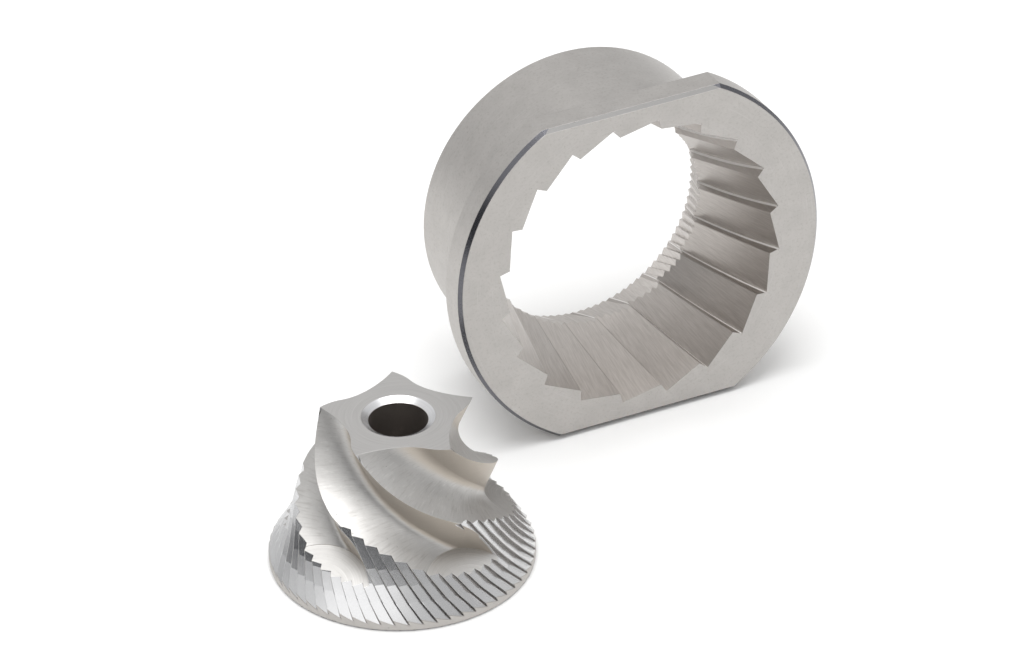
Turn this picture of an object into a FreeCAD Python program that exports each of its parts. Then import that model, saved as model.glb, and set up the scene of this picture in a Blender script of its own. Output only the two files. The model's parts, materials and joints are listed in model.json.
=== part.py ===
import FreeCAD, Part
import math
import os

# A 68 mm conical burr set, the two grinding pieces of a coffee grinder.
# The ring burr stands on the lower flat of its flange and leans back until the
# barrel touches the table; the cone burr stands on its base in front of it.
# Millimetres, +Z up, table at z = 0, origin under the middle of the pair.

V = FreeCAD.Vector

# ---- where the two pieces stand ------------------------------------------------
CONE_POS = V(-33.4, -14.2, 0.0)        # cone axis, on the table
RING_POS_X = 21.8                      # ring axis, left to right
RING_FACE_Y = 6.9                      # middle of the ring's front face

# ---- ring burr -------------------------------------------------------------------
RING_LENGTH = 27.7                     # front face to rear face
FLANGE_RADIUS = 34.0
FLANGE_THICKNESS = 5.5
FLAT_HALF = 29.65                      # axis to either flat
FLANGE_CHAMFER_AXIAL = 0.8
FLANGE_CHAMFER_RADIAL = 0.6
BARREL_RADIUS = 27.95

COARSE_TEETH = 20
COARSE_FIRST_ROOT_DEG = 97.8           # angle of the first root, seen from the front
COARSE_ROOT_FRONT = 26.63              # groove bottom at the front face
COARSE_CREST_FRONT = 24.91
COARSE_CREST_LAG_DEG = 1.73            # crest sits this far clockwise of its root
COARSE_ROOT_SLOPE = 0.263              # radius lost per mm of depth
COARSE_CREST_SLOPE = 0.245
COARSE_TWIST_DEG = 0.356               # clockwise per mm of depth
THROAT_DEPTH = 19.0                    # where the coarse crests meet the fine teeth
THROAT_RADIUS = 20.25
COARSE_OVERLAP = 4.0                   # both cuts run past the throat, into each other
FINE_OVERLAP = 3.0

FINE_TEETH = 100                       # five to every coarse tooth
FINE_TIP_OUTLET = 22.95                # tooth tips at the rear face
FINE_TOOTH_DEPTH = 0.45
FINE_TWIST_DEG = 0.6                   # clockwise per mm of depth
FINE_STEEP_PART = 0.2                  # share of the pitch taken by the steep side

# ---- cone burr -------------------------------------------------------------------
CONE_HEIGHT = 28.0
BORE_RADIUS = 5.0
BORE_CHAMFER = 1.25
BORE_CHAMFER_DEPTH = 0.75
CONE_PROFILE = [(22.43, 0.0), (22.43, 2.1), (20.8, 4.5), (19.49, 7.0), (18.59, 9.5),
                (17.4, 14.0), (13.9, CONE_HEIGHT)]  # turned blank, radius and height
BASE_CHAMFER = 0.3

FLUTES = 5
MILL_RADIUS = 8.92                     # the flat end mill that cuts them
MILL_TILT_DEG = 65.0                   # its axis above the level
MILL_SWING_DEG = 64.0                  # and aside of straight outwards
MILL_OFFSET = 17.18                    # its tip, beside the plane through the cone's axis
MILL_PATH_RADIUS = (1.64, 0.246, 0.0396, -0.00108)  # tip's travel outwards, and its
MILL_PATH_DEG = (-204.95, 3.346, 0.302, -0.00719)   # azimuth, in powers of mm below the top
MILL_START_ABOVE = 6.0                 # the path begins above the top face
MILL_END_BELOW = 22.56                 # and stops this far below it
MILL_WALL_HEIGHT = 3.0                 # height up the mill at which its walls are true
MILL_LENGTH = 16.0
MILL_STEP = 0.01                       # short move along the path, for its direction
MILL_PATH_POINTS = 29
MILL_RIM_POINTS = 13
MILL_DWELL = 0.05                      # extra it cuts all round where it stops
SEW_GAP = 0.01                         # largest gap closed between the cutter's faces

SKIRT_TEETH = 60                       # twelve to every flute
SKIRT_FIRST_DEG = -117.45              # azimuth of a groove bottom at the rim
SKIRT_RIM_Z = 0.95                     # height at which that is measured
SKIRT_TOOTH_DEPTH = 0.68
SKIRT_TWIST_DEG = 1.9                  # azimuth lost per mm of height
SKIRT_STEEP_PART = 0.12
SKIRT_TOP_Z = 15.5
SKIRT_SKIN = 0.05                      # tooth tips stay this far outside the turned blank

OVERCUT = 1.0                          # cutting shapes run this far past what they cut
REACH = 40.0                           # and sideways beyond the whole piece


def polar(radius, degrees, height):
    angle = math.radians(degrees)
    return V(radius * math.cos(angle), radius * math.sin(angle), height)


def turned(profile):
    """Solid of revolution about Z from (radius, height) corners."""
    points = [V(0, 0, profile[0][1])]
    points += [V(r, 0, z) for r, z in profile]
    points += [V(0, 0, profile[-1][1]), V(0, 0, profile[0][1])]
    face = Part.Face(Part.makePolygon(points))
    return face.revolve(V(0, 0, 0), V(0, 0, 1), 360)


def ruled_stack(sections):
    """Solid through closed corner loops with equal corner counts."""
    faces = []
    for lower, upper in zip(sections[:-1], sections[1:]):
        count = len(lower)
        for i in range(count):
            j = (i + 1) % count
            edge_low = Part.makeLine(lower[i], lower[j])
            edge_up = Part.makeLine(upper[i], upper[j])
            faces.append(Part.makeRuledSurface(edge_low, edge_up))
    for loop in (sections[0], sections[-1]):
        faces.append(Part.Face(Part.makePolygon(loop + [loop[0]])))
    shell = Part.makeShell(faces)
    shell.sewShape()
    solid = Part.makeSolid(shell)
    if solid.Volume < 0:
        solid.reverse()
    return solid


# ---- the ring, built with its axis on Z, front face at z = 0, rear at -length ------
def coarse_section(depth):
    pitch = 360.0 / COARSE_TEETH
    root = COARSE_ROOT_FRONT - COARSE_ROOT_SLOPE * depth
    crest = COARSE_CREST_FRONT - COARSE_CREST_SLOPE * depth
    loop = []
    for k in range(COARSE_TEETH):
        root_deg = COARSE_FIRST_ROOT_DEG + k * pitch - COARSE_TWIST_DEG * depth
        loop.append(polar(crest, root_deg - COARSE_CREST_LAG_DEG, -depth))
        loop.append(polar(root, root_deg, -depth))
    return loop


def fine_section(depth):
    pitch = 360.0 / FINE_TEETH
    slope = (FINE_TIP_OUTLET - THROAT_RADIUS) / (RING_LENGTH - THROAT_DEPTH)
    tip = THROAT_RADIUS + slope * (depth - THROAT_DEPTH)
    root = tip + FINE_TOOTH_DEPTH
    loop = []
    for k in range(FINE_TEETH):
        root_deg = COARSE_FIRST_ROOT_DEG + k * pitch - FINE_TWIST_DEG * (depth - THROAT_DEPTH)
        loop.append(polar(tip, root_deg - FINE_STEEP_PART * pitch, -depth))
        loop.append(polar(root, root_deg, -depth))
    return loop


def ring_burr():
    flange_edge = FLANGE_RADIUS - FLANGE_CHAMFER_RADIAL
    blank = turned([
        (BARREL_RADIUS, -RING_LENGTH), (BARREL_RADIUS, -FLANGE_THICKNESS),
        (FLANGE_RADIUS, -FLANGE_THICKNESS), (FLANGE_RADIUS, -FLANGE_CHAMFER_AXIAL),
        (flange_edge, 0.0)])
    chamfer_lean = FLANGE_CHAMFER_RADIAL / FLANGE_CHAMFER_AXIAL
    outline = [
        (FLAT_HALF, -FLANGE_THICKNESS),
        (FLAT_HALF, -FLANGE_CHAMFER_AXIAL),
        (FLAT_HALF - FLANGE_CHAMFER_RADIAL - chamfer_lean * OVERCUT, OVERCUT),
        (REACH, OVERCUT),
        (REACH, -FLANGE_THICKNESS)]
    for side in (-1, 1):
        corners = [V(-REACH, side * across, height) for across, height in outline]
        face = Part.Face(Part.makePolygon(corners + [corners[0]]))
        blank = blank.cut(face.extrude(V(2 * REACH, 0, 0)))
    coarse = ruled_stack([coarse_section(-OVERCUT), coarse_section(THROAT_DEPTH + COARSE_OVERLAP)])
    fine = ruled_stack([
        fine_section(THROAT_DEPTH - FINE_OVERLAP), fine_section(RING_LENGTH + OVERCUT)])
    return blank.cut(coarse).cut(fine)


# ---- the cone, built on the origin --------------------------------------------------
def polynomial(terms, x):
    return sum(term * x ** power for power, term in enumerate(terms))


def mill_pose(below_top, flute):
    """Tip centre and axis of the end mill when its tip is this far below the top face."""
    tip = V(polynomial(MILL_PATH_RADIUS, below_top), MILL_OFFSET, CONE_HEIGHT - below_top)
    tilt = math.radians(MILL_TILT_DEG)
    swing = math.radians(MILL_SWING_DEG)
    axis = V(math.cos(tilt) * math.cos(swing), math.cos(tilt) * math.sin(swing), math.sin(tilt))
    azimuth = polynomial(MILL_PATH_DEG, below_top) + flute * 360.0 / FLUTES
    turn = FreeCAD.Rotation(V(0, 0, 1), azimuth)
    return turn.multVec(tip), turn.multVec(axis)


def mill_frame(below_top, flute):
    """The mill's tip and axis, with the directions square to its travel and back along it."""
    tip, axis = mill_pose(below_top, flute)
    before, axis_before = mill_pose(below_top - MILL_STEP, flute)
    travel = (tip + axis * MILL_WALL_HEIGHT) - (before + axis_before * MILL_WALL_HEIGHT)
    side = axis.cross(travel).normalize()
    return tip, axis, side, axis.cross(side).normalize()


def flute_cutter(flute):
    """What the end mill clears: the trace of its trailing rim, walled up on both sides."""
    span = MILL_END_BELOW + MILL_START_ABOVE
    rims, left_top, right_top = [], [], []
    for i in range(MILL_PATH_POINTS):
        below_top = span * i / (MILL_PATH_POINTS - 1) - MILL_START_ABOVE
        tip, axis, side, back = mill_frame(below_top, flute)
        rim = []
        for j in range(MILL_RIM_POINTS):
            angle = math.pi * j / (MILL_RIM_POINTS - 1)
            rim.append(tip + (side * math.cos(angle) + back * math.sin(angle)) * MILL_RADIUS)
        rims.append(rim)
        left_top.append(rim[0] + axis * MILL_LENGTH)
        right_top.append(rim[-1] + axis * MILL_LENGTH)
    floor = Part.BSplineSurface()
    floor.interpolate(rims)
    u0, u1, v0, v1 = floor.bounds()
    left_low = floor.vIso(v0).toShape()
    right_low = floor.vIso(v1).toShape()
    tops = []
    for points in (left_top, right_top):
        curve = Part.BSplineCurve()
        curve.interpolate(points)
        tops.append(curve.toShape())
    faces = [floor.toShape(), Part.makeRuledSurface(left_low, tops[0]),
             Part.makeRuledSurface(right_low, tops[1]), Part.makeRuledSurface(tops[0], tops[1])]
    for u, i in ((u0, 0), (u1, -1)):
        rim_edge = floor.uIso(u).toShape()
        chord = Part.makeLine(rims[i][0], rims[i][-1])
        faces.append(Part.Face(Part.Wire([rim_edge, chord])))
        faces.append(Part.Face(Part.makePolygon(
            [rims[i][0], rims[i][-1], right_top[i], left_top[i], rims[i][0]])))
    shell = Part.makeShell(faces)
    shell.sewShape(SEW_GAP)
    solid = Part.makeSolid(shell)
    if solid.Volume < 0:
        solid.reverse()
    tip, axis = mill_pose(MILL_END_BELOW, flute)
    dwell = Part.makeCylinder(
        MILL_RADIUS + MILL_DWELL, MILL_LENGTH, tip - axis * MILL_DWELL, axis)
    return [solid, dwell]


def skirt_tip(height):
    """Radius of the tooth tips, carried on in a straight line past either end of the skirt."""
    skirt = CONE_PROFILE[1:6]
    for (r0, z0), (r1, z1) in zip(skirt[:-1], skirt[1:]):
        if height <= z1:
            break
    return r0 + (r1 - r0) * (height - z0) / (z1 - z0) + SKIRT_SKIN


def skirt_section(height, tip):
    pitch = 360.0 / SKIRT_TEETH
    loop = []
    for k in range(SKIRT_TEETH):
        root_deg = SKIRT_FIRST_DEG + k * pitch - SKIRT_TWIST_DEG * (height - SKIRT_RIM_Z)
        loop.append(polar(tip - SKIRT_TOOTH_DEPTH, root_deg, height))
        loop.append(polar(tip, root_deg + SKIRT_STEEP_PART * pitch, height))
    return loop


def cone_burr():
    profile = [(CONE_PROFILE[0][0] - BASE_CHAMFER, 0.0), (CONE_PROFILE[0][0], BASE_CHAMFER)]
    blank = turned(profile + CONE_PROFILE[1:])
    for flute in range(FLUTES):
        for cutter in flute_cutter(flute):
            blank = blank.cut(cutter)
    sections = []
    for height in [-OVERCUT] + [z for r, z in CONE_PROFILE[2:5]] + [SKIRT_TOP_Z]:
        sections.append(skirt_section(height, skirt_tip(height)))
    toothed = ruled_stack(sections)
    above = Part.makeCylinder(REACH, CONE_HEIGHT, V(0, 0, SKIRT_TOP_Z))
    body = blank.common(toothed.fuse(above))
    mouth = BORE_RADIUS + BORE_CHAMFER
    bore = turned([
        (BORE_RADIUS, -OVERCUT), (BORE_RADIUS, CONE_HEIGHT - BORE_CHAMFER_DEPTH),
        (mouth, CONE_HEIGHT), (mouth, CONE_HEIGHT + OVERCUT)])
    return body.cut(bore)


def stand_ring(shape):
    """Turn the axis level, lean the ring back and set it on the table."""
    lean = math.atan2(FLAT_HALF - BARREL_RADIUS, RING_LENGTH - FLANGE_THICKNESS)
    shape.rotate(V(0, 0, 0), V(1, 0, 0), 90 - math.degrees(lean))
    height = FLANGE_THICKNESS * math.sin(lean) + FLAT_HALF * math.cos(lean)
    shape.translate(V(RING_POS_X, RING_FACE_Y, height))
    return shape


def main():
    os.makedirs("parts", exist_ok=True)
    ring = stand_ring(ring_burr())
    cone = cone_burr()
    cone.translate(CONE_POS)
    for name, shape in (("ring_burr", ring), ("cone_burr", cone)):
        solid = shape.Solids[0]
        solid.exportStep("parts/" + name + ".step")
        print(name, len(shape.Solids), shape.isValid(), solid.Volume, solid.BoundBox)


main()
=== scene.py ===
import json
import math

import bpy
from mathutils import Matrix, Vector


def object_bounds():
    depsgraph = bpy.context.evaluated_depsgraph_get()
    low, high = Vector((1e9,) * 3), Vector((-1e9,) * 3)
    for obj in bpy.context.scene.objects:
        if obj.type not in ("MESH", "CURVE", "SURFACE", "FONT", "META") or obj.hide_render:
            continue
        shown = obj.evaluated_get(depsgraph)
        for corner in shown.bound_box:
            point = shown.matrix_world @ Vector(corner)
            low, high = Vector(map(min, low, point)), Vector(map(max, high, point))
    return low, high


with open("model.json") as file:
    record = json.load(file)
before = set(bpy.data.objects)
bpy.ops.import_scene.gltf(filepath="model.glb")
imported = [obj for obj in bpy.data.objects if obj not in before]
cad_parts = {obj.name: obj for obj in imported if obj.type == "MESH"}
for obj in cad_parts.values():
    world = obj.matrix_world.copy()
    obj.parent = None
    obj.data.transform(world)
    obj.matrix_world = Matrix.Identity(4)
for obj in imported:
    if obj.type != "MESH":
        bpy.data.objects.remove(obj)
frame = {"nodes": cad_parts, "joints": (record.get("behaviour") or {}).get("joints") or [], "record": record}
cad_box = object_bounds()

# The looks of a 68 mm conical burr set: a satin ring burr and a bright milled cone burr.
# Objects are in metres and in the frame's own axes; shader distances are in millimetres.

MM = 0.001

# ---- camera ------------------------------------------------------------------------
VIEW_AZIMUTH = -24.65                            # degrees, 0 looks along +Y
VIEW_ELEVATION = 33.39
VIEW_ROLL = -1.26
VIEW_DISTANCE = 1.4109
AIM_FROM_CENTRE = Vector((-5.06, 0.68, -2.27)) * MM
SENSOR_WIDTH = 36.0
LENS = 293.04

# ---- light: level 0 is the dark colour and 1 the light one ---------------------------
TENT_DARK = (0.030, 0.032, 0.038, 1)
TENT_LIGHT = (1.0, 1.0, 1.0, 1)
TENT_STRENGTH = 1.0
TENT_FRONT_LEVEL = 0.80
TENT_BACK_LEVEL = 0.86
TENT_RIGHT_SHARE = 0.70                          # of those levels, far to the right
TENT_FOOT = 0.43                                 # sine of the elevation where the tent begins
TENT_FOOT_BLUR = 0.11
ROOM_FRONT_LEVEL = 0.02                          # the room below the tent
ROOM_RIGHT_LEVEL = 0.55
ROOM_BACK_LEVEL = 0.70
GAP_FROM = 0.795                                 # sines of the elevations of a gap in the tent
GAP_TO = 0.925
GAP_BLUR = 0.025
GAP_SHADE = 0.75
FRONT_BOX_ELEVATION = 40.0
FRONT_BOX_LEVEL = 0.62
SOFTBOX_PLACE = (-0.08, -0.08, 1.2)
SOFTBOX_SIZE = 0.85
SOFTBOX_POWER = 8.5

# ---- floor -------------------------------------------------------------------------
FLOOR_SIZE = 6.0
FLOOR_TONES = ((0.965, 0.965, 0.96, 1), (0.98, 0.98, 0.975, 1))
FLOOR_ROUGHNESS = 0.7

# ---- ring burr, in its own axes (millimetres and degrees) ------------------------------
RING_LENGTH = 27.7
FLANGE_RADIUS = 34.0
FLANGE_CHAMFER = 0.8
ROUND_CHAMFER_WIDTH = 0.62
GROOVES_WITHIN = 27.05                           # outside this radius the front face is plain
COARSE_TEETH = 20
COARSE_FIRST_ROOT = 97.8
COARSE_TWIST = 0.356                             # degrees per mm of depth
COARSE_CREST_LAG = 1.73
# half width in mm of the painted highlight line along each groove root
ROOT_HIGHLIGHT_HALF = 0.09

RING_TONES = ((0.42, 0.403, 0.386, 1), (0.56, 0.54, 0.52, 1))
RING_FLECK = (0.38, 0.36, 0.34, 1)
RING_TURNED = (0.62, 0.61, 0.60, 1)
GROOVE_TONES = ((0.42, 0.39, 0.365, 1), (0.72, 0.685, 0.655, 1))
# painted shade: the colour laid on the steep side of each ring groove
GROOVE_STEEP_SHADE = (0.25, 0.22, 0.20, 1)
# painted highlight: the near-white colour of a line along each groove root
GROOVE_ROOT_HIGHLIGHT = (0.85, 0.83, 0.81, 1)
# painted shade on the flange chamfers: the flat one darker than the steel to dim its reflected light, the
# round one a near-black bluish painted reflection of the dark room
FLAT_CHAMFER_SHADE = (0.27, 0.265, 0.26, 1)
ROUND_CHAMFER_SHADE = (0.15, 0.15, 0.165, 1)
RING_PIT = (0.16, 0.15, 0.14, 1)

# ---- cone burr (millimetres and degrees) -----------------------------------------------
CONE_HEIGHT = 28.0
BASE_RADIUS = 22.43
CONE_PROFILE = [(BASE_RADIUS, 2.1), (20.8, 4.5), (19.49, 7.0), (18.59, 9.5), (17.4, 14.0),
                (13.9, CONE_HEIGHT)]             # radius and height of the turned blank
BAND_INSET = 0.085
BORE_RADIUS = 5.0
MOUTH_RADIUS = 6.25
MOUTH_FROM = 27.1                                # height just under the bore's chamfer
SKIRT_TEETH = 60
SKIRT_FIRST_ROOT = -117.45
SKIRT_ROOT_Z = 0.95
SKIRT_TWIST = 1.9                                # degrees per mm of height
SKIRT_DEPTH = 0.68
SKIRT_MARGIN = 0.225                             # this much deeper still counts as skirt
SKIRT_ONLY_BELOW = 4.9                           # all that is near the blank below this height
# painted shade goes on the steep side at each skirt tooth's root
TOOTH_STEEP = (0.105, 0.965)                     # steep before and after these shares of a pitch
TOOTH_FACE_RISE = (0.16, 0.64)                   # least and most upward part of its face's normal
TOOTH_FACE_TURN = 0.15                           # least sideways part of that normal
TOOTH_STEEP_TURN = -0.66                         # most sideways part on the steep side
FLUTES = 5
# painted shade: flute faces whose normal rises less than this get a darker brown colour
WALL_RISE = 0.135                                # upward part of the normal on a flute's wall
WALL_RISE_BLUR = 0.185
MILL_TILT = math.radians(65.0)
MILL_SWING = math.radians(64.0)
MILL_AXIS = (math.cos(MILL_TILT) * math.cos(MILL_SWING),
             math.cos(MILL_TILT) * math.sin(MILL_SWING), math.sin(MILL_TILT))
MILL_OFFSET = 17.18                              # the mill's tip, beside the cone's middle plane
MILL_PATH_RADIUS = (1.64, 0.246, 0.0396, -0.00108)    # powers of mm below the top face
MILL_PATH_AZIMUTH = (-204.95, 3.346, 0.302, -0.00719)
MILL_END_BELOW = 22.56
MILL_AHEAD = 3.0                                 # the mill's tip is this far below its marks
MARKS_FROM = 30.0                                # a flute's marks start this far past the path
LANDING_FROM = 13.0                              # and those of the flat where the mill stops
LANDING_HALF = 0.11                              # that flat's surface is this near its plane

CONE_TONES = ((0.46, 0.45, 0.437, 1), (0.61, 0.60, 0.585, 1))
MARK_DARK = (0.34, 0.325, 0.305, 1)
MARK_LIGHT = (0.80, 0.79, 0.77, 1)
CONE_FLECK = (0.36, 0.345, 0.33, 1)
# painted shade: the brown laid on a flute's wall, where it faces level or downward
FLUTE_WALL_SHADE = (0.50, 0.445, 0.38, 1)
TOOTH_FACE = (0.70, 0.70, 0.705, 1)
# painted shade: the near-black laid on the skirt teeth's steep sides
TOOTH_STEEP_SHADE = (0.14, 0.12, 0.105, 1)
BASE_BAND = (0.50, 0.475, 0.45, 1)
TOP_TONES = ((0.44, 0.43, 0.42, 1), (0.58, 0.57, 0.56, 1))
MOUTH_TONES = ((0.62, 0.62, 0.63, 1), (0.82, 0.82, 0.83, 1))
BORE_WALL = (0.42, 0.385, 0.36, 1)
CONE_PIT = (0.14, 0.13, 0.12, 1)

# ---- both burrs (millimetres) ----------------------------------------------------------
RING_EDGE_RADIUS = 0.06                          # how far the shading rounds an edge
CONE_EDGE_RADIUS = 0.09
EDGE_SAMPLES = 4
MASK_INSET = 0.04                                # from a surface to the edge of its mask


def polynomial(terms, x):
    return sum(term * x ** power for power, term in enumerate(terms))


class Shader:
    """A material's node tree, with short calls for the maths that its masks need."""

    def __init__(self, tree):
        self.tree = tree
        self.coordinates = self.add("ShaderNodeTexCoord")

    def add(self, kind, inputs=None, **settings):
        node = self.tree.nodes.new(kind)
        for name, value in settings.items():
            setattr(node, name, value)
        for key, value in (inputs or {}).items():
            self.feed(node.inputs[key], value)
        return node

    def feed(self, socket, value):
        if isinstance(value, bpy.types.NodeSocket):
            self.tree.links.new(value, socket)
        else:
            socket.default_value = value

    def math(self, operation, *values):
        return self.add("ShaderNodeMath", dict(enumerate(values)), operation=operation).outputs[0]

    def vector(self, operation, *values):
        node = self.add("ShaderNodeVectorMath", dict(enumerate(values)), operation=operation)
        scalar = operation in ("DOT_PRODUCT", "LENGTH")
        return node.outputs["Value" if scalar else "Vector"]

    def point(self, x, y=0.0, z=0.0):
        return self.add("ShaderNodeCombineXYZ", {0: x, 1: y, 2: z}).outputs[0]

    def split(self, vector):
        return self.add("ShaderNodeSeparateXYZ", {0: vector}).outputs

    # -- sums and products --

    def scaled(self, value, factor, offset=0.0):
        return self.math("MULTIPLY_ADD", value, factor, offset)

    def product(self, first, *others):
        for other in others:
            first = self.math("MULTIPLY", first, other)
        return first

    def weighted(self, base, *terms):
        """A base value plus each term's value times its weight."""
        for value, weight in terms:
            base = self.math("MULTIPLY_ADD", value, weight, base)
        return base

    def radians(self, degrees):
        return self.scaled(degrees, math.pi / 180.0)

    def polar(self, radius, turn, height):
        """The point at this radius, turn in radians and height about the axis."""
        x = self.product(radius, self.math("COSINE", turn))
        y = self.product(radius, self.math("SINE", turn))
        return self.point(x, y, height)

    # -- masks, which run from 0 to 1 --

    def step(self, value, low, high, at_low=0.0, at_high=1.0):
        """A smooth change from at_low to at_high as value goes from low to high."""
        ordered = {0: value, 1: low, 2: high, 3: at_low, 4: at_high}
        return self.add("ShaderNodeMapRange", ordered, interpolation_type="SMOOTHSTEP").outputs[0]

    def above(self, value, edge, blur=0.03):
        return self.step(value, edge - blur, edge + blur)

    def below(self, value, edge, blur=0.03):
        return self.step(value, edge + blur, edge - blur)

    def inverse(self, mask):
        return self.scaled(mask, -1.0, 1.0)

    # -- colours and patterns --

    def mix(self, share, a, b):
        node = self.add("ShaderNodeMix", {0: share, 6: a, 7: b}, data_type="RGBA")
        return node.outputs[2]

    def cover(self, tone, colour, mask, strength=1.0):
        """The tone with a second colour over it where the mask is, at this strength."""
        return self.mix(self.product(mask, strength), tone, colour)

    def noise(self, where, scale, detail=3.0, roughness=0.5, distortion=0.0):
        inputs = {"Vector": where, "Scale": scale, "Detail": detail,
                  "Roughness": roughness, "Distortion": distortion}
        return self.add("ShaderNodeTexNoise", inputs).outputs[0]

    def drawn_noise(self, axes, detail, roughness=0.5):
        """Noise over up to three values, each with the cycles that it has per unit."""
        where = self.point(*[self.scaled(value, cycles) for value, cycles in axes])
        return self.noise(where, scale=1.0, detail=detail, roughness=roughness)

    def round_streaks(self, radius, degrees, height, length, width):
        """Noise drawn out round the axis, in streaks of this length and width."""
        reach = self.math("DIVIDE", radius, length)
        across = self.scaled(self.math("ADD", radius, height), 1.0 / width)
        where = self.polar(reach, self.radians(degrees), across)
        return self.noise(where, scale=1.0, detail=2.0, roughness=0.6)

    def spots(self, where, scale, size):
        """Small round spots: 1 inside a spot and 0 elsewhere."""
        node = self.add("ShaderNodeTexVoronoi", {"Vector": where, "Scale": scale})
        return self.below(node.outputs["Distance"], 0.75 * size, 0.25 * size)

    # -- start and end of a material --

    def place(self, origin, turn_x=0.0):
        """Coordinates in millimetres about an axis: the point, its radius, angle and height."""
        inputs = {"Vector": self.coordinates.outputs["Object"], "Location": origin,
                  "Rotation": (turn_x, 0.0, 0.0), "Scale": (MM, MM, MM)}
        point = self.add("ShaderNodeMapping", inputs, vector_type="TEXTURE").outputs[0]
        x, y, z = self.split(point)
        degrees = self.scaled(self.math("ARCTAN2", y, x), 180.0 / math.pi)
        return point, self.vector("LENGTH", self.point(x, y)), degrees, z

    def finish(self, tone, roughness, relief, edge_radius, metallic=1.0):
        """Bare metal with its relief in millimetres and its edges very slightly rounded."""
        edges = self.add("ShaderNodeBevel", {"Radius": edge_radius * MM}, samples=EDGE_SAMPLES)
        normal = self.add("ShaderNodeBump", {
            "Strength": 1.0, "Distance": MM, "Height": relief, "Normal": edges.outputs[0]})
        surface = self.add("ShaderNodeBsdfPrincipled", {
            "Base Color": tone, "Metallic": metallic, "Roughness": roughness,
            "Normal": normal.outputs[0]})
        self.add("ShaderNodeOutputMaterial", {"Surface": surface.outputs[0]})


def new_material(name):
    material = bpy.data.materials.new(name)
    material.use_nodes = True
    material.node_tree.nodes.clear()
    return material, Shader(material.node_tree)


def ring_steel(origin, lean):
    """Satin turned tool steel, with browner ground grooves inside, painted shade on the grooves' steep sides
    and on the flange chamfers, and a painted highlight along each groove root.
    """
    material, s = new_material("ring_steel")
    point, radius, degrees, height = s.place(origin, math.pi / 2 - lean)
    depth = s.scaled(height, -1.0)
    past_face = s.above(depth, 0.05)
    inside = s.product(s.below(radius, GROOVES_WITHIN, 0.15), past_face,
                       s.below(depth, RING_LENGTH - 0.05))
    outside = s.inverse(inside)
    # painted shade: the flange's chamfers are darkened in colour
    shaded_chamfer = s.product(outside, past_face, s.below(depth, FLANGE_CHAMFER - 0.03))
    shaded_round_chamfer = s.product(shaded_chamfer, s.above(radius, FLANGE_RADIUS - ROUND_CHAMFER_WIDTH, 0.04))

    pitch = 360.0 / COARSE_TEETH
    turns = s.weighted(-COARSE_FIRST_ROOT / pitch, (degrees, 1.0 / pitch),
                       (depth, COARSE_TWIST / pitch))
    # painted highlight: a thin bright line painted along each groove root
    off_root = s.product(s.math("PINGPONG", turns, 0.5), radius, math.radians(pitch))
    painted_root_highlight = s.product(inside, s.below(off_root, ROOT_HIGHLIGHT_HALF))
    # painted shade: the steep side of each groove, just before its root, is darkened in colour
    lag = COARSE_CREST_LAG / pitch
    steep = s.product(inside, s.above(s.math("FRACT", turns), 1.0 - 0.95 * lag, 0.05 * lag))

    cloud = s.noise(point, scale=0.22, detail=4.0, roughness=0.6, distortion=0.3)
    fleck = s.noise(point, scale=2.2, detail=3.0, roughness=0.65)
    grain = s.noise(point, scale=8.0, detail=2.0)
    pits = s.spots(point, scale=0.55, size=0.05)
    turning = s.round_streaks(radius, degrees, height, length=9.0, width=0.22)
    grinding = s.drawn_noise([(degrees, 1.6), (depth, 0.12), (radius, 1.0)], detail=3.0, roughness=0.6)

    tone = s.mix(cloud, *RING_TONES)
    tone = s.cover(tone, RING_FLECK, s.product(outside, s.step(fleck, 0.50, 0.70)), 0.45)
    tone = s.cover(tone, RING_TURNED, s.product(outside, s.step(turning, 0.55, 0.80)), 0.30)
    tone = s.mix(inside, tone, s.mix(grinding, *GROOVE_TONES))
    tone = s.cover(tone, GROOVE_STEEP_SHADE, steep, 0.5)
    tone = s.cover(tone, GROOVE_ROOT_HIGHLIGHT, painted_root_highlight)
    tone = s.cover(tone, FLAT_CHAMFER_SHADE, shaded_chamfer)
    tone = s.cover(tone, ROUND_CHAMFER_SHADE, shaded_round_chamfer)
    tone = s.cover(tone, RING_PIT, pits, 0.6)

    roughness = s.weighted(0.36, (cloud, 0.08), (fleck, 0.06), (shaded_round_chamfer, -0.16),
                           (inside, -0.04))
    relief = s.weighted(0.0, (s.product(turning, outside), 0.004),
                        (s.product(grinding, inside), 0.007), (grain, 0.003), (pits, -0.03))
    # the painted root highlight is made nearly non-metallic, so it shows bright
    metallic = s.scaled(painted_root_highlight, -0.9, 1.0)
    s.finish(tone, roughness, relief, RING_EDGE_RADIUS, metallic)
    return material


def mill_marks(s, radius, degrees, height):
    """Feed marks that the end mill's rim leaves across a flute, as fine and coarse noise."""
    below_top = s.scaled(height, -1.0, CONE_HEIGHT + MILL_AHEAD)
    azimuth = MILL_PATH_AZIMUTH[-1]
    for term in reversed(MILL_PATH_AZIMUTH[:-1]):
        azimuth = s.math("MULTIPLY_ADD", azimuth, below_top, term)
    from_path = s.math("SUBTRACT", degrees, azimuth)
    turn = s.math("WRAP", from_path, MARKS_FROM + 360.0 / FLUTES, MARKS_FROM)
    swung = s.math("COSINE", s.scaled(turn, math.pi / 180.0, -MILL_SWING))
    along = s.weighted(0.0, (height, math.sin(MILL_TILT)),
                       (s.product(radius, swung), math.cos(MILL_TILT)))
    fine = s.drawn_noise([(along, 7.0), (turn, 0.09), (radius, 0.2)], detail=3.0, roughness=0.65)
    coarse = s.drawn_noise([(along, 1.1), (turn, 0.03)], detail=1.0)
    return fine, coarse


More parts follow.
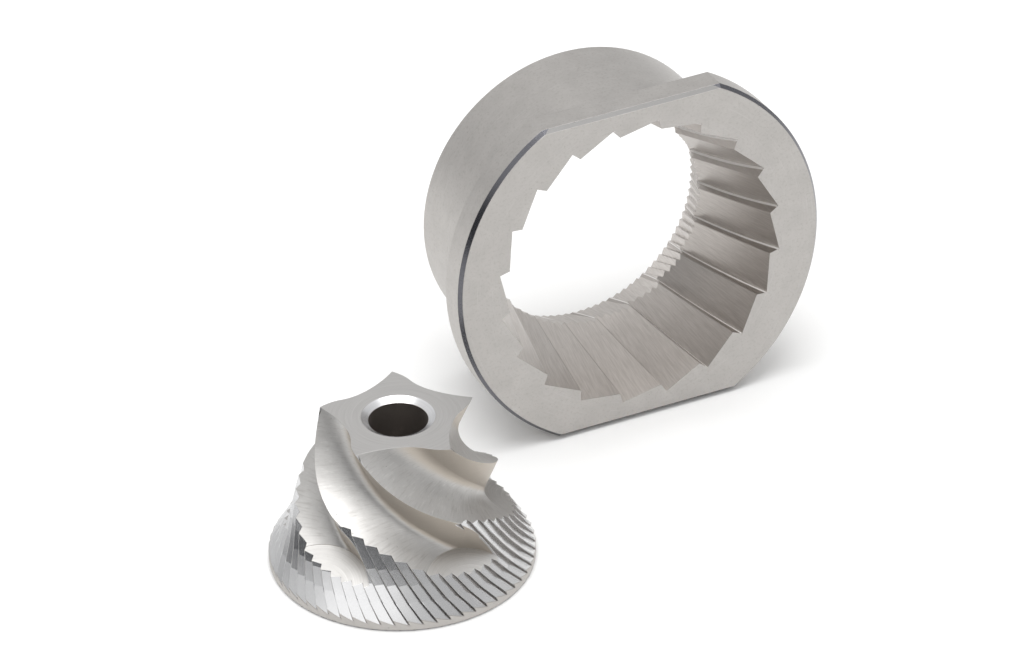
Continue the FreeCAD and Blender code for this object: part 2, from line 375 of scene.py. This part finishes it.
def landing_marks(s, radius, degrees, height):
    """Rings on the flat where the mill stops, and a mask for that flat."""
    tip = (polynomial(MILL_PATH_RADIUS, MILL_END_BELOW), MILL_OFFSET,
           CONE_HEIGHT - MILL_END_BELOW)
    from_path = s.scaled(degrees, 1.0, -polynomial(MILL_PATH_AZIMUTH, MILL_END_BELOW))
    turn = s.radians(s.math("WRAP", from_path, LANDING_FROM + 360.0 / FLUTES, LANDING_FROM))
    from_tip = s.vector("SUBTRACT", s.polar(radius, turn, height), tip)
    lift = s.math("ABSOLUTE", s.vector("DOT_PRODUCT", from_tip, MILL_AXIS))
    reach = s.vector("LENGTH", from_tip)
    rings = s.drawn_noise([(reach, 5.0), (turn, 1.2)], detail=2.0, roughness=0.6)
    return rings, s.below(lift, LANDING_HALF)


def skirt_mask(s, radius, degrees, height, rise, sideways):
    """Where the skirt teeth are: near the turned blank, and facing as a tooth's sides do."""
    blank = 0.0
    for (r0, z0), (r1, z1) in zip(CONE_PROFILE[:-1], CONE_PROFILE[1:]):
        slope = (r1 - r0) / (z1 - z0)
        blank = s.math("MAXIMUM", blank, s.scaled(height, slope, r0 - slope * z0))
    blank = s.math("MINIMUM", blank, BASE_RADIUS)
    cut_depth = s.math("SUBTRACT", blank, radius)
    near_blank = s.below(cut_depth, SKIRT_DEPTH + SKIRT_MARGIN, 0.075)
    least_rise, most_rise = TOOTH_FACE_RISE
    face = s.product(s.above(rise, least_rise, 0.02), s.below(rise, most_rise, 0.02),
                     s.above(sideways, TOOTH_FACE_TURN))
    steep = s.below(sideways, TOOTH_STEEP_TURN, 0.04)
    foot = s.below(height, SKIRT_ONLY_BELOW, 0.3)
    return s.product(near_blank, s.math("MAXIMUM", face, s.math("MAXIMUM", steep, foot)))


def cone_steel(foot):
    """Bright milled tool steel: cutter marks in the flutes and ground faces on the teeth, with painted shade
    on the flute walls and on the teeth's steep sides.
    """
    material, s = new_material("cone_steel")
    point, radius, degrees, height = s.place(foot)
    turn = s.radians(degrees)
    normal_x, normal_y, rise = s.split(s.coordinates.outputs["Normal"])
    sideways = s.math("SUBTRACT", s.product(normal_y, s.math("COSINE", turn)),
                      s.product(normal_x, s.math("SINE", turn)))

    band = s.above(radius, BASE_RADIUS - BAND_INSET, 0.035)
    off_band = s.inverse(band)
    skirt = s.math("MAXIMUM", skirt_mask(s, radius, degrees, height, rise, sideways), band)
    top = s.above(height, CONE_HEIGHT - MASK_INSET, 0.02)
    bore = s.below(radius, BORE_RADIUS + MASK_INSET, 0.02)
    mouth = s.product(s.below(radius, MOUTH_RADIUS - MASK_INSET, 0.02),
                      s.above(height, MOUTH_FROM, 0.1))
    flute = s.product(s.inverse(skirt), s.inverse(top), s.inverse(mouth))
    # painted shade: the parts of a flute that face level or downward are darkened in colour
    painted_wall_shade = s.product(flute, s.below(rise, WALL_RISE, WALL_RISE_BLUR))

    pitch = 360.0 / SKIRT_TEETH
    first_root = SKIRT_FIRST_ROOT + SKIRT_ROOT_Z * SKIRT_TWIST
    turns = s.math("FRACT", s.weighted(-first_root / pitch, (degrees, 1.0 / pitch),
                                       (height, SKIRT_TWIST / pitch)))
    # painted shade: the steep side at each skirt tooth's root is darkened in colour
    steep = s.math("MAXIMUM", s.below(turns, TOOTH_STEEP[0], 0.015),
                   s.above(turns, TOOTH_STEEP[1], 0.01))
    steep = s.product(steep, skirt, off_band)

    cloud = s.noise(point, scale=0.3, detail=4.0, roughness=0.6, distortion=0.3)
    fleck = s.noise(point, scale=2.5, detail=3.0, roughness=0.65)
    grain = s.noise(point, scale=9.0, detail=2.0)
    pits = s.spots(point, scale=0.45, size=0.05)
    turning = s.round_streaks(radius, degrees, height, length=8.0, width=0.16)
    grinding = s.drawn_noise([(turns, 9.0), (height, 0.15), (degrees, 0.05)], detail=2.0)
    fine, coarse = mill_marks(s, radius, degrees, height)
    rings, landing = landing_marks(s, radius, degrees, height)
    marks = s.mix(s.product(landing, flute), fine, rings)

    tone = s.mix(cloud, *CONE_TONES)
    tone = s.cover(tone, MARK_DARK, s.product(flute, s.step(marks, 0.52, 0.70)), 0.36)
    tone = s.cover(tone, MARK_LIGHT, s.product(flute, s.step(marks, 0.42, 0.28)), 0.30)
    tone = s.cover(tone, CONE_FLECK, s.step(fleck, 0.56, 0.76), 0.25)
    tone = s.cover(tone, FLUTE_WALL_SHADE, painted_wall_shade, 0.8)
    tone = s.cover(tone, TOOTH_FACE, s.product(skirt, off_band))
    tone = s.mix(top, tone, s.mix(turning, *TOP_TONES))
    tone = s.mix(mouth, tone, s.mix(turning, *MOUTH_TONES))
    tone = s.cover(tone, BASE_BAND, band, 0.7)
    tone = s.cover(tone, TOOTH_STEEP_SHADE, steep, 0.75)
    tone = s.cover(tone, CONE_PIT, pits, 0.6)
    tone = s.cover(tone, BORE_WALL, bore)

    roughness = s.weighted(0.34, (cloud, 0.06), (marks, 0.08), (skirt, -0.16), (band, 0.20),
                           (mouth, -0.12), (flute, 0.05))
    relief = s.weighted(0.0, (s.product(marks, flute), 0.011), (s.product(coarse, flute), 0.008),
                        (s.product(turning, s.math("MAXIMUM", top, mouth)), 0.004),
                        (s.product(grinding, skirt), 0.003), (grain, 0.002), (pits, -0.03))
    s.finish(tone, roughness, relief, CONE_EDGE_RADIUS)
    return material


def assign(node, material):
    node.data.materials.clear()
    node.data.materials.append(material)


def make_floor():
    half = FLOOR_SIZE / 2
    mesh = bpy.data.meshes.new("floor")
    corners = [(-half, -half, 0), (half, -half, 0), (half, half, 0), (-half, half, 0)]
    mesh.from_pydata(corners, [], [(0, 1, 2, 3)])
    floor = bpy.data.objects.new("floor", mesh)
    bpy.context.scene.collection.objects.link(floor)
    material, s = new_material("floor_paper")
    paper = s.noise(s.coordinates.outputs["Object"], scale=60.0)
    surface = s.add("ShaderNodeBsdfPrincipled", {
        "Base Color": s.mix(paper, *FLOOR_TONES), "Roughness": FLOOR_ROUGHNESS})
    s.add("ShaderNodeOutputMaterial", {"Surface": surface.outputs[0]})
    assign(floor, material)


def make_world():
    """A light tent with a dark gap high in front, above a dark strip of room."""
    world = bpy.data.worlds.new("light_tent")
    world.use_nodes = True
    world.node_tree.nodes.clear()
    s = Shader(world.node_tree)
    way = s.coordinates.outputs["Generated"]
    azimuth = math.radians(VIEW_AZIMUTH)
    elevation = math.radians(FRONT_BOX_ELEVATION)
    level_front = Vector((math.sin(azimuth), -math.cos(azimuth), 0.0))
    level_right = Vector((math.cos(azimuth), math.sin(azimuth), 0.0))
    to_box = level_front * math.cos(elevation) + Vector((0, 0, math.sin(elevation)))
    rise = s.split(way)[2]
    front = s.vector("DOT_PRODUCT", way, level_front)
    right = s.vector("DOT_PRODUCT", way, level_right)

    room_right = s.step(right, 0.35, 0.90, ROOM_FRONT_LEVEL, ROOM_RIGHT_LEVEL)
    room_back = s.step(front, 0.05, -0.25, ROOM_FRONT_LEVEL, ROOM_BACK_LEVEL)
    room = s.math("MAXIMUM", room_right, room_back)
    gap = s.product(s.above(rise, GAP_FROM, GAP_BLUR), s.below(rise, GAP_TO, GAP_BLUR),
                    s.above(front, 0.15, 0.10))
    panels = s.product(s.step(front, 0.0, -0.7, TENT_FRONT_LEVEL, TENT_BACK_LEVEL),
                       s.step(right, 0.45, 0.85, 1.0, TENT_RIGHT_SHARE))
    towards_box = s.vector("DOT_PRODUCT", way, to_box)
    front_box = s.step(towards_box, 0.80, 0.94, 0.0, FRONT_BOX_LEVEL)
    tent = s.product(s.math("ADD", panels, front_box), s.scaled(gap, -GAP_SHADE, 1.0))
    in_tent = s.above(rise, TENT_FOOT, TENT_FOOT_BLUR)
    level = s.weighted(s.product(room, s.inverse(in_tent)), (tent, in_tent))
    colour = s.add("ShaderNodeMix", {0: level, 6: TENT_DARK, 7: TENT_LIGHT},
                   data_type="RGBA", clamp_factor=False)
    light = s.add("ShaderNodeBackground", {"Color": colour.outputs[2], "Strength": TENT_STRENGTH})
    s.add("ShaderNodeOutputWorld", {"Surface": light.outputs[0]})
    bpy.context.scene.world = world


def make_softbox(aim):
    data = bpy.data.lights.new("top_softbox", "AREA")
    data.shape = "RECTANGLE"
    data.size = SOFTBOX_SIZE
    data.size_y = SOFTBOX_SIZE
    data.energy = SOFTBOX_POWER
    light = bpy.data.objects.new("top_softbox", data)
    light.location = SOFTBOX_PLACE
    light.rotation_mode = "QUATERNION"
    light.rotation_quaternion = (aim - Vector(SOFTBOX_PLACE)).to_track_quat("-Z", "Y")
    bpy.context.scene.collection.objects.link(light)


def make_camera(centre):
    azimuth, elevation = math.radians(VIEW_AZIMUTH), math.radians(VIEW_ELEVATION)
    back = Vector((math.sin(azimuth) * math.cos(elevation),
                   -math.cos(azimuth) * math.cos(elevation), math.sin(elevation)))
    data = bpy.data.cameras.new("photo_view")
    data.sensor_fit = "HORIZONTAL"
    data.sensor_width = SENSOR_WIDTH
    data.lens = LENS
    camera = bpy.data.objects.new("photo_view", data)
    place = Matrix.Translation(centre + AIM_FROM_CENTRE + back * VIEW_DISTANCE)
    turn = (-back).to_track_quat("-Z", "Y").to_matrix().to_4x4()
    roll = Matrix.Rotation(math.radians(VIEW_ROLL), 4, "Z")
    camera.matrix_world = place @ turn @ roll
    bpy.context.scene.collection.objects.link(camera)
    bpy.context.scene.camera = camera


centre = (cad_box[0] + cad_box[1]) / 2
mounts = {mount["name"]: mount for mount in frame["record"]["mounts"]}
barrel = Vector(mounts["ring_barrel"]["pos_m"])
ring_axis = Vector(mounts["ring_barrel"]["axis"])
ring_front = Vector(mounts["ring_front_face"]["pos_m"])
ring_origin = barrel - ring_axis * (barrel - ring_front).dot(ring_axis)
ring_lean = math.asin(-ring_axis.z)
cone_foot = Vector(frame["joints"][0]["pos_m"])

assign(frame["nodes"]["ring_burr"], ring_steel(ring_origin, ring_lean))
assign(frame["nodes"]["cone_burr"], cone_steel(cone_foot))

make_floor()
make_world()
make_softbox(centre)
make_camera(centre)
bpy.context.scene.view_settings.view_transform = "Standard"
